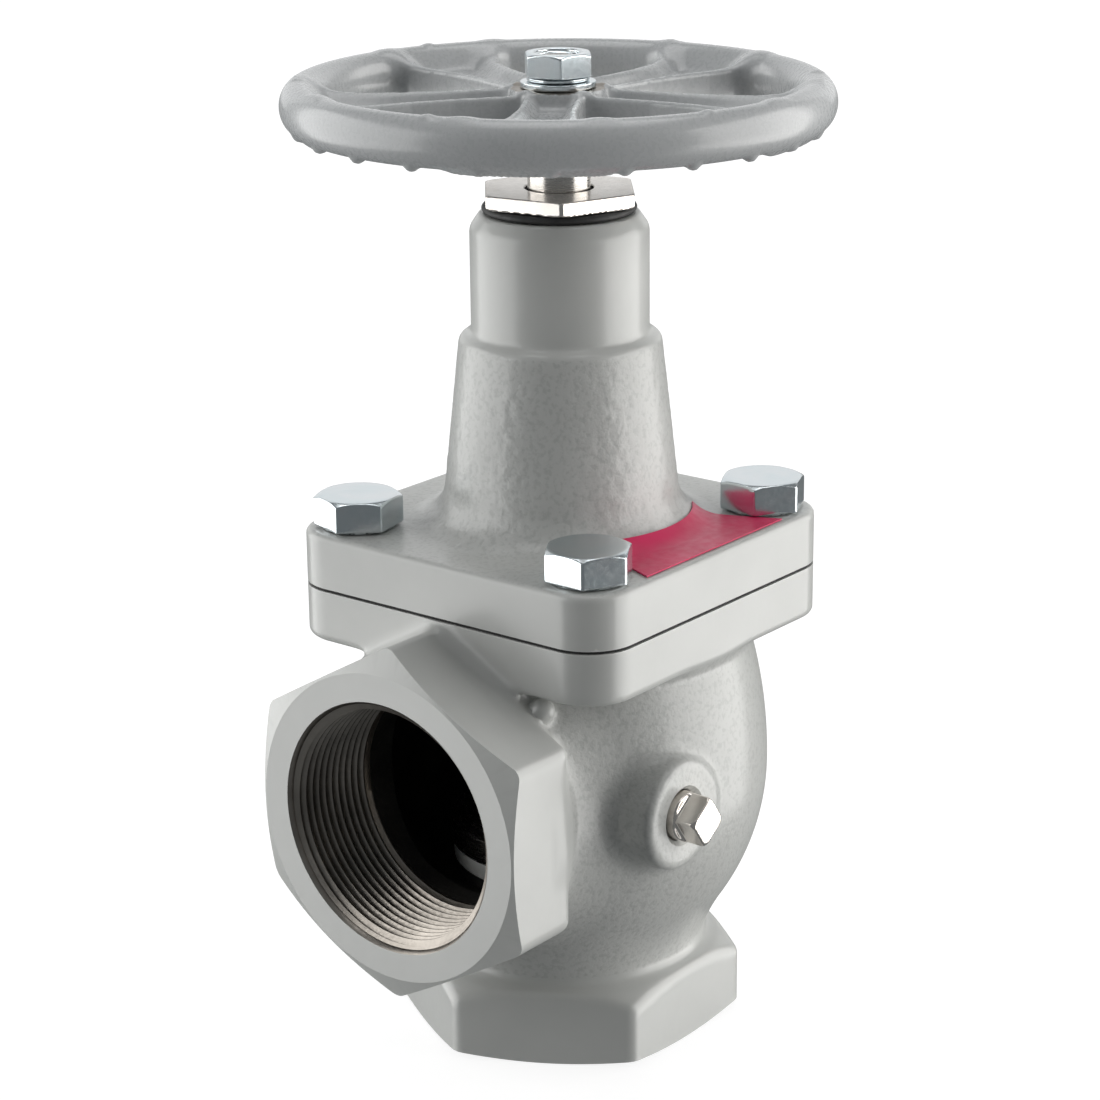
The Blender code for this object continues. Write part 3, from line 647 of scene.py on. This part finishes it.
def make_bonnet():
    margin = Vector((2, 2, 2))
    mesh, _ = surface(bonnet_field, BONNET_LOW - margin, BONNET_HIGH + margin, 0.9)
    rough_top = CONE_TOP_Z - 2

    def rough(place):
        """Full on the cone and the flange's fillet, none on the barrel and the flange's edges."""
        across = math.hypot(place.x, place.y)
        if place.z < FLANGE_TOP_Z - 0.5 or place.z > rough_top or across > 40:
            return 0.0
        return min(1.0, (rough_top - place.z) / 6, (40 - across) / 4)

    roughen(mesh, 0.12, 2.0, rough)
    skirt = [(FOOT_R, FLANGE_LOW_Z), (FOOT_R, 105), (80, 105), (80, FLANGE_LOW_Z)]
    relief = STEM_CREST_R + 1.2
    bore = [(0, 105), (60, 105), (60, BONNET_LOW.z), (24, BONNET_LOW.z), (24, 113), (relief, 117.5),
            (STEM_ROOT_R + 0.4, 120), (STEM_ROOT_R + 0.4, 143.5), (relief, 145), (relief, 164), (8, 167),
            (8, 170), (12.3, 170), (12.3, 190), (14.3, 191), (14.3, BONNET_TOP_Z - 0.6),
            (GLAND_MOUTH_R, BONNET_TOP_Z), (GLAND_MOUTH_R, BONNET_TOP_Z + 3), (0, BONNET_TOP_Z + 3)]

    def female(x, y, z):
        rod = screw(x, y, z, STEM_ROOT_R + 0.38, STEM_CREST_R + 0.38, STEM_LEAD, 0.12)
        return np.maximum(rod, slab(z, 117, 146))

    thread, _ = surface(female, (-12, -12, 115), (12, 12, 148), 0.6)
    mesh = cut(mesh, turned(skirt, 0, 96), turned(bore, 0, 72), thread,
               *bolt_holes(FLANGE_LOW_Z - 3, FLANGE_TOP_Z + 3))

    def bare(centre):
        """Faces of the bore and the underside."""
        return math.hypot(centre.x, centre.y) < GLAND_MOUTH_R + 0.05 or centre.z < FLANGE_LOW_Z + 0.02

    def sandy(centre):
        """Faces of the cone and the top of the flange."""
        return FLANGE_TOP_Z - 0.3 < centre.z < CONE_TOP_Z

    show("bonnet", mesh, sharp=32, others=((CAST_PAINT, sandy), (BORE_STEEL, bare)))


def make_gasket():
    low, high = (corner.z for corner in cad("bonnet_gasket"))
    half, corner = FLANGE_HALF - 0.35, FLANGE_CORNER_R
    outline = []
    for quarter in range(4):
        middle = math.pi / 4 + quarter * math.pi / 2
        centre = [math.copysign(half - corner, f(middle)) for f in (math.cos, math.sin)]
        for k in range(13):
            angle = (quarter + k / 12) * math.pi / 2
            outline.append((centre[0] + corner * math.cos(angle), centre[1] + corner * math.sin(angle)))
    middle = turned([(0, low - 1), (TOP_BORE_R, low - 1), (TOP_BORE_R, high + 1), (0, high + 1)], 0, 96)
    show("bonnet_gasket", cut(prism(outline, low, high), middle, *bolt_holes(low - 1, high + 1)))


def make_bolt(node, at, turn):
    """A hexagon-head bolt about a point, turned by some degrees."""
    low, high = cad(node)
    seat = FLANGE_TOP_Z + 0.2
    thread_top = seat - 6

    def bolt(x, y, z):
        u, v = turn_back(x - at[0], y - at[1], math.radians(turn))
        across = np.hypot(u, v)
        head = hexagon(u, v, BOLT_FLATS, 0.35)
        head = edged(head, cone(across, z, BOLT_FLATS / 2 - 0.3, high.z, 28), 0.3)
        head = edged(head, slab(z, seat + 0.45, high.z), 0.3)
        washer = edged(across - BOLT_FLATS / 2 + 0.35, slab(z, seat, seat + 2), 0.15)
        thread = np.maximum(screw(u, v, z, BOLT_R - 1.15, BOLT_R, BOLT_LEAD), slab(z, low.z, thread_top))
        thread = np.maximum(thread, (across - BOLT_R + 1.2) - (z - low.z))
        plain = np.maximum(across - BOLT_R, slab(z, thread_top, seat + 1))
        return np.minimum(np.minimum(head, washer), np.minimum(thread, plain))

    grown(node, bolt, 0.45)


def make_bolts():
    for number, (at, turn) in enumerate(zip(bolt_spots(), (30.4, 24.3, 50.0, 12.2)), 1):
        make_bolt(f"bonnet_bolt_{number}", at, turn)


# ---------------------------------------------------------------- stem, gland and packing

def make_stem():
    low, high = cad("stem")
    groove = (58.0, 60.2)
    square_low, square_top = 221.5, 233.6
    stud_r = 4.6

    def stem(x, y, z):
        across = np.hypot(x, y)
        rod = edged(across - STEM_R, slab(z, low.z, square_low), 0.8)
        rod = np.maximum(rod, -edged(5.8 - across, slab(z, *groove), 0.2))
        thread = np.maximum(screw(x, y, z, STEM_ROOT_R, STEM_CREST_R, STEM_LEAD), slab(z, *STEM_THREAD))
        inset = np.minimum(z - STEM_THREAD[0], STEM_THREAD[1] - z)
        thread = np.maximum(thread, across - STEM_ROOT_R + 0.1 - inset * 0.83)
        u, v = turn_back(x, y, SQUARE_TURN)
        square = edged(np.abs(u) - 5.4, np.abs(v) - 5.4, 0.3)
        square = edged(edged(square, across - 7.2, 0.2), slab(z, square_low - 1, square_top), 0.3)
        stud = screw(x, y, z, stud_r - 0.55, stud_r, FINE_LEAD)
        stud = np.maximum(stud, slab(z, square_top - 1, high.z))
        stud = edged(stud, cone(across, z, stud_r - 0.9, high.z, 45), 0.2)
        return np.minimum(np.minimum(rod, thread), np.minimum(square, stud))

    grown("stem", stem, 0.5)
    clip_low, clip_high = (corner.z for corner in cad("stem_clip"))
    mouth = prism([(0, -4.5), (12, -4.5), (12, 4.5), (0, 4.5)], clip_low - 1, clip_high + 1)
    ring = [(5.95, clip_low), (9.3, clip_low), (9.3, clip_high), (5.95, clip_high)]
    show("stem_clip", cut(turned(ring), mouth))


def make_gland():
    low, high = cad("gland_nut")
    seal_low, seal_high = (corner.z for corner in cad("gland_seal"))
    hex_low = seal_high + 0.2
    flats = 34.9
    wiper_r, wiper_low, lip_low = 9.8, 207.6, 209.6

    def gland(x, y, z):
        across = np.hypot(x, y)
        head = hexagon(*turn_back(x, y, math.radians(39.5)), flats, 0.4)
        head = edged(head, cone(across, z, flats / 2 + 2.3, high.z, 30), 0.3)
        head = edged(head, cone(across, 2 * hex_low - z, flats / 2 + 1.8, hex_low, 30), 0.3)
        head = edged(head, slab(z, hex_low, high.z), 0.3)
        shank = np.maximum(screw(x, y, z, 13.1, 14.0, FINE_LEAD), slab(z, 192.4, 203.0))
        shank = np.minimum(shank, np.maximum(across - 13.2, slab(z, 191, hex_low + 1)))
        nose = edged(across - 12.0, slab(z, low.z, 194), 0.4)
        solid = np.minimum(head, np.minimum(shank, nose))
        solid = edged(solid, STEM_R + 0.25 - across, 0.2)
        groove = np.maximum(across - wiper_r, slab(z, wiper_low, lip_low))
        mouth = np.maximum(across - STEM_R - 0.7, wiper_low - z)
        return edged(solid, -np.minimum(groove, mouth), 0.15)

    grown("gland_nut", gland, 0.5)
    seal = [(14.3, seal_low), (18.0, seal_low), (18.6, seal_low + 0.9), (18.0, seal_high), (14.3, seal_high)]
    show("gland_seal", turned(seal, 0.5, 96))
    inner, outer = STEM_R + 0.2, wiper_r - 0.2
    bottom, shoulder = wiper_low + 0.2, lip_low - 0.2
    wiper = [(inner, bottom), (outer, bottom), (outer, shoulder), (inner + 0.3, shoulder), (inner, 210.1)]
    show("stem_wiper", turned(wiper, 0.1, 96))


def make_packing():
    """A flat washer, three V-shaped rings and a follower that is hollow below, round the stem."""
    inner, outer = STEM_R + 0.25, 12.1
    middle = (inner + outer) / 2
    rings = [f"packing_ring_{number}" for number in (1, 2, 3)]
    for node in ("packing_washer", *rings, "packing_follower"):
        bottom, top = (corner.z for corner in cad(node))
        hollow = [(inner, bottom), (middle, bottom + 1), (outer, bottom)]
        flat_top = [(outer, top), (inner, top)]
        if node == "packing_washer":
            outline = [(inner, bottom), (outer, bottom)] + flat_top
        elif node == "packing_follower":
            outline = hollow + flat_top
        else:
            outline = hollow + [(outer, top - 1), (middle, top), (inner, top - 1)]
        show(node, turned(outline, 0.2, 72))


# ---------------------------------------------------------------- disc

def make_disc():
    ring_low, ring_top = (corner.z for corner in cad("seat_ring"))
    show("seat_ring", turned([(15.2, ring_low), (28, ring_low), (28, ring_top), (15.2, ring_top)], 0.4, 96))
    plate_low, collar_top = (corner.z for corner in cad("disc_holder"))
    screw_r = 5.0
    hole_r = screw_r + 0.2
    holder = [(0, 52), (hole_r, 52), (hole_r, plate_low), (28.6, plate_low), (28.6, 51.5), (24, 54.6),
              (14.5, 57), (14.5, collar_top), (10.6, collar_top), (10.6, 54), (0, 54)]
    show("disc_holder", turned(holder, 0.4, 96))
    low, top = (corner.z for corner in cad("disc_retainer"))
    show("disc_retainer", turned([(hole_r, low), (19.2, low), (20, low + 0.8), (20, ring_low - 0.2),
                                  (14.9, ring_low - 0.2), (14.9, top), (hole_r, top)], 0.25, 96))
    screw_low, screw_high = cad("disc_screw")
    head_top = low - 0.2

    def screw_shape(x, y, z):
        across = np.hypot(x, y)
        head = hexagon(x, y, 16, 0.3)
        head = edged(head, cone(across, 2 * screw_low.z - z, 7.8, screw_low.z, 30), 0.3)
        head = edged(head, slab(z, screw_low.z, head_top), 0.3)
        shank = np.maximum(screw(x, y, z, 4.3, screw_r, FINE_LEAD), slab(z, head_top - 1, screw_high.z))
        return np.minimum(head, shank)

    grown("disc_screw", screw_shape, 0.5)
    pad_low, pad_high = (corner.z for corner in cad("thrust_pad"))
    pad = [(0, pad_low), (6, pad_low), (6, pad_low + 0.9), (3, pad_high), (0, pad_high)]
    show("thrust_pad", turned(pad, 0.3))
    nut_low, nut_high = cad("swivel_nut")

    def swivel(x, y, z):
        across = np.hypot(x, y)
        head = hexagon(x, y, 24, 0.4)
        head = edged(head, cone(across, z, 11.8, nut_high.z, 30), 0.3)
        head = edged(head, slab(z, collar_top + 0.2, nut_high.z), 0.3)
        shank = np.maximum(screw(x, y, z, 9.4, 10.3, FINE_LEAD), slab(z, nut_low.z, collar_top + 1))
        return edged(np.minimum(head, shank), STEM_R + 0.3 - across, 0.2)

    grown("swivel_nut", swivel, 0.5)


# ---------------------------------------------------------------- handwheel

def wheel_field(x, y, z):
    """An oval rim, dished spokes that flare into it, a hub, nubs below the rim and small pips on top."""
    across = np.hypot(x, y)
    half_wide, half_tall = RIM_WIDE / 2, RIM_TALL / 2
    out, up = (across - WHEEL_R + half_wide), z - WHEEL_Z
    ratio = np.hypot(out / half_wide, up / half_tall)
    slope = np.maximum(np.hypot(out / half_wide ** 2, up / half_tall ** 2), 1e-3)
    rim = ratio * (ratio - 1) / slope

    u, v = repeat(x, y, SPOKES, SPOKE_TURN)
    half = np.interp(u, (8, 14, 26, 36, 44, 52, 59), (7.0, 6.8, 6.8, 7.9, 9.8, 12.6, 16.5))
    lip = np.clip((np.abs(v) / half - 0.40) / 0.5, 0, 1)
    lip = lip * lip * (3 - 2 * lip)
    crest = np.interp(u, (10, 20, 46, 58), (233.3, 233.2, 233.0, 234.0))
    top = z - crest + 3.2 * (1 - lip)
    side = (np.abs(v) - half) * 0.93
    spoke = edged(edged(side, top, 1.1), SPOKE_LOW_Z - z, 1.2)
    spoke = np.maximum(spoke, slab(across, 2, 59))
    hub = edged(across - HUB_R - (HUB_TOP_Z - z) * 0.03, slab(z, WHEEL_HUB_LOW_Z, 250), 1.0)
    hub = edged(hub, z - HUB_TOP_Z, 0.5)
    wheel = fillet(fillet(spoke, hub, 3.0), rim, 4.5)

    u, v = repeat(x, y, NUBS, NUB_TURN)
    nub = np.sqrt((u - NUB_RING_R) ** 2 + v ** 2 + (z - NUB_Z) ** 2) - NUB_R
    wheel = fillet(wheel, nub, 0.7)
    u, v = repeat(x, y, PIPS, PIP_TURN)
    pip = np.sqrt((u - PIP_RING_R) ** 2 + v ** 2 + ((z - PIP_Z) * 1.6) ** 2) - PIP_R
    return fillet(wheel, pip, 0.8)


def make_wheel():
    margin = Vector((2, 2, 2))
    mesh, _ = surface(wheel_field, Vector((-WHEEL_R, -WHEEL_R, 221.5)) - margin,
                      Vector((WHEEL_R, WHEEL_R, 237)) + margin, 0.7)
    half = 5.65
    corners = [(half, half), (-half, half), (-half, -half), (half, -half)]
    socket = prism([tuple(turn_back(x, y, -SQUARE_TURN)) for x, y in corners], 215, 240)
    mesh = cut(mesh, socket)

    def faced(centre):
        top, bottom = centre.z > HUB_TOP_Z - 0.1, centre.z < WHEEL_HUB_LOW_Z + 0.1
        return math.hypot(centre.x, centre.y) < 10.9 and (top or bottom)

    show("handwheel", mesh, sharp=32, others=((BORE_STEEL, faced),))


def make_wheel_fasteners():
    for node, inner, outer in (("wheel_washer", 5.0, 8.9), ("wheel_lock_washer", 5.0, 7.4)):
        low, high = (corner.z for corner in cad(node))
        ring = turned([(inner, low), (outer, low), (outer, high), (inner, high)], 0.25, 96)
        if node == "wheel_lock_washer":
            split = prism([(3, -0.5), (9, -0.5), (9, 0.5), (3, 0.5)], low - 1, high + 1)
            split.transform(Matrix.Rotation(math.radians(140), 4, "Z"))
            ring = cut(ring, split)
        show(node, ring)
    low, high = cad("wheel_nut")

    def nut(x, y, z):
        across = np.hypot(x, y)
        head = hexagon(*turn_back(x, y, math.radians(42)), 15, 0.3)
        head = edged(head, cone(across, z, 7.5, high.z, 30), 0.25)
        head = edged(head, cone(across, 2 * low.z - z, 8.2, low.z, 30), 0.25)
        head = edged(head, slab(z, low.z, high.z), 0.2)
        hole = screw(x, y, z, 4.75, 5.3, FINE_LEAD)
        head = np.maximum(head, -hole)
        mouth = (across - 5.5) + (high.z - z)
        return edged(head, -mouth, 0.15)

    grown("wheel_nut", nut, 0.3)


# ---------------------------------------------------------------- label and plug

def make_label():
    """A thin plate that lies on the flange and climbs the foot of the cone."""
    rows, columns = 18, 60
    far_y, cone_gap = 45.4, 31.6
    t, across = np.meshgrid(np.linspace(0, 1, rows + 1), np.linspace(0, 1, columns + 1), indexing="ij")
    left, right = -20.5 - 8.0 * t ** 1.3, 19.0 + 7.5 * t ** 1.3
    x = left + (right - left) * across
    start = np.maximum(np.sqrt(np.maximum(cone_gap ** 2 - x ** 2, 0)), 24.0)
    y = start + (far_y - start) * t
    low, high = np.full(x.shape, FLANGE_TOP_Z - 1.0), np.full(x.shape, FLANGE_TOP_Z + 12.0)
    for _ in range(24):
        z = (low + high) / 2
        inside = bonnet_field(x, y, z) < 0
        low, high = np.where(inside, z, low), np.where(inside, high, z)
    ground = np.stack([x, y, z], -1)
    ahead, behind = ([bonnet_field(*np.moveaxis(ground + side * nudge, -1, 0)) for nudge in np.eye(3) * 0.05]
                     for side in (1, -1))
    slope = np.stack(ahead, -1) - np.stack(behind, -1)
    slope /= np.linalg.norm(slope, axis=-1, keepdims=True)

    bm = bmesh.new()
    under, over = ([[bm.verts.new(point) for point in line] for line in ground + slope * lift]
                   for lift in (0.15, 0.55))
    for grid in (under, over):
        for i in range(rows):
            for j in range(columns):
                bm.faces.new((grid[i][j], grid[i][j + 1], grid[i + 1][j + 1], grid[i + 1][j]))
    rim = [(0, j) for j in range(columns)] + [(i, columns) for i in range(rows)]
    rim += [(rows, j) for j in range(columns, 0, -1)] + [(i, 0) for i in range(rows, 0, -1)]
    for (i, j), (k, m) in zip(rim, rim[1:] + rim[:1]):
        bm.faces.new((under[i][j], under[k][m], over[k][m], over[i][j]))
    show("id_label", to_mesh(bm))


def make_plug():
    face = BOSS_FACE_Y

    def plug(x, y, z):
        along = y - face
        u, v = turn_back(x - BOSS_X, z - PORT_AXIS_Z, math.radians(-35))
        across = np.hypot(u, v)
        head = edged(edged(np.abs(u) - 4.4, np.abs(v) - 4.4, 0.6), slab(along, -1, 7.0), 0.4)
        head = edged(head, (across - 5.6) * 0.7 + (along - 6.6) * 0.7, 0.3)
        collar = edged(across - 5.9, slab(along, -2, 1.2), 0.5)
        thread = np.maximum(screw(u, v, -along, 5.3, 5.9, 1.41), slab(along, -10.8, 0))
        return np.minimum(fillet(head, collar, 0.8), thread)

    grown("boss_plug", plug, 0.4)


make_body()
make_bonnet()
make_gasket()
make_bolts()
make_label()
make_plug()
make_gland()
make_packing()
make_stem()
make_disc()
make_wheel()
make_wheel_fasteners()


# ---------------------------------------------------------------- floor, light and camera

def aim(obj, place, target):
    obj.location = place
    obj.rotation_euler = (Vector(target) - Vector(place)).to_track_quat("-Z", "Y").to_euler()


def make_camera():
    """The eye is on a line from the target, turned from +X towards +Y and raised above the horizon."""
    target = Vector((0.00486, 0, 0.12145))
    turn, rise, roll = math.radians(38.41), math.radians(17.89), math.radians(-0.59)
    distance = 0.72813
    back = Vector((math.cos(turn) * math.cos(rise), math.sin(turn) * math.cos(rise), math.sin(rise)))
    level = Vector((0, 0, 1)).cross(back).normalized()
    upright = back.cross(level)
    across = level * math.cos(roll) + upright * math.sin(roll)
    upward = upright * math.cos(roll) - level * math.sin(roll)
    data = bpy.data.cameras.new("camera")
    data.sensor_width = 36.0
    data.lens = 97.71
    data.clip_start, data.clip_end = 0.01, 20.0
    camera = bpy.data.objects.new("camera", data)
    bpy.context.scene.collection.objects.link(camera)
    camera.matrix_world = Matrix.Translation(target + back * distance) @ Matrix(
        (across, upward, back)).transposed().to_4x4()
    bpy.context.scene.camera = camera
    return back, level


def make_lights(back, level):
    """Large softboxes left, right, above and behind, and a weak one low on the right.

    Those at the sides reach below the floor, so that polished sides mirror them. The front stays dark.
    """
    middle = Vector((0, 0, 0.12))
    up = Vector((0, 0, 1))
    flat = Vector((back.x, back.y, 0)).normalized()
    boxes = (("left", -level * 1.6 - flat * 0.10 + up * 0.15, (2.4, 2.2), 40.0, (1.0, 1.0, 0.99)),
             ("right", level * 1.6 + up * 0.15, (2.0, 2.2), 42.0, (1.0, 0.99, 0.97)),
             ("low", level * 1.25 + flat * 0.35 - up * 0.65, (1.2, 0.8), 2.2, (1.0, 1.0, 0.99)),
             ("top", up * 1.6 - flat * 0.3, (1.2, 1.2), 9.0, (1.0, 1.0, 1.0)),
             ("behind", -flat * 2.0 + up * 0.75, (3.0, 1.7), 12.0, (1.0, 1.0, 1.0)))
    for name, offset, size, watts, colour in boxes:
        data = bpy.data.lights.new(name, "AREA")
        data.shape = "RECTANGLE"
        data.size, data.size_y = size
        data.energy, data.color = watts, colour
        lamp = bpy.data.objects.new(f"light_{name}", data)
        lamp.visible_camera = False
        bpy.context.scene.collection.objects.link(lamp)
        aim(lamp, middle + offset, middle)


def make_world():
    """A surround that is pale to the camera and dim to the object, so that the softboxes shape the object."""
    world = bpy.data.worlds.new("studio")
    world.use_nodes = True
    tree = world.node_tree
    dim = tree.nodes["Background"]
    dim.inputs["Color"].default_value = (0.92, 0.97, 1.0, 1)
    dim.inputs["Strength"].default_value = 0.16
    pale = tree.nodes.new("ShaderNodeBackground")
    pale.inputs["Color"].default_value = (0.93, 0.93, 0.93, 1)
    seen = tree.nodes.new("ShaderNodeLightPath").outputs["Is Camera Ray"]
    mix = tree.nodes.new("ShaderNodeMixShader")
    for output, socket in zip((seen, dim.outputs[0], pale.outputs[0]), mix.inputs):
        tree.links.new(output, socket)
    tree.links.new(mix.outputs[0], tree.nodes["World Output"].inputs["Surface"])
    bpy.context.scene.world = world


def make_floor():
    """A white floor that only the camera sees, so that the softboxes light the object from below as well."""
    bm = bmesh.new()
    bmesh.ops.create_grid(bm, x_segments=8, y_segments=8, size=6.0)
    mesh = to_mesh(bm)
    n = Nodes("pale_floor")
    n.link(n.ramp(n.noise(0.004, 2.0), (0.3, 0.24), (0.7, 0.26)), "Base Color")
    n.set(Roughness=0.9, Emission_Color=(1, 1, 1, 1), Emission_Strength=0.84)
    mesh.materials.append(n.material)
    floor = bpy.data.objects.new("floor", mesh)
    bpy.context.scene.collection.objects.link(floor)
    floor.location.z = -0.0001
    floor.visible_diffuse = floor.visible_glossy = floor.visible_shadow = False


back, level = make_camera()
make_lights(back, level)
make_world()
make_floor()
bpy.context.scene.view_settings.view_transform = "Standard"
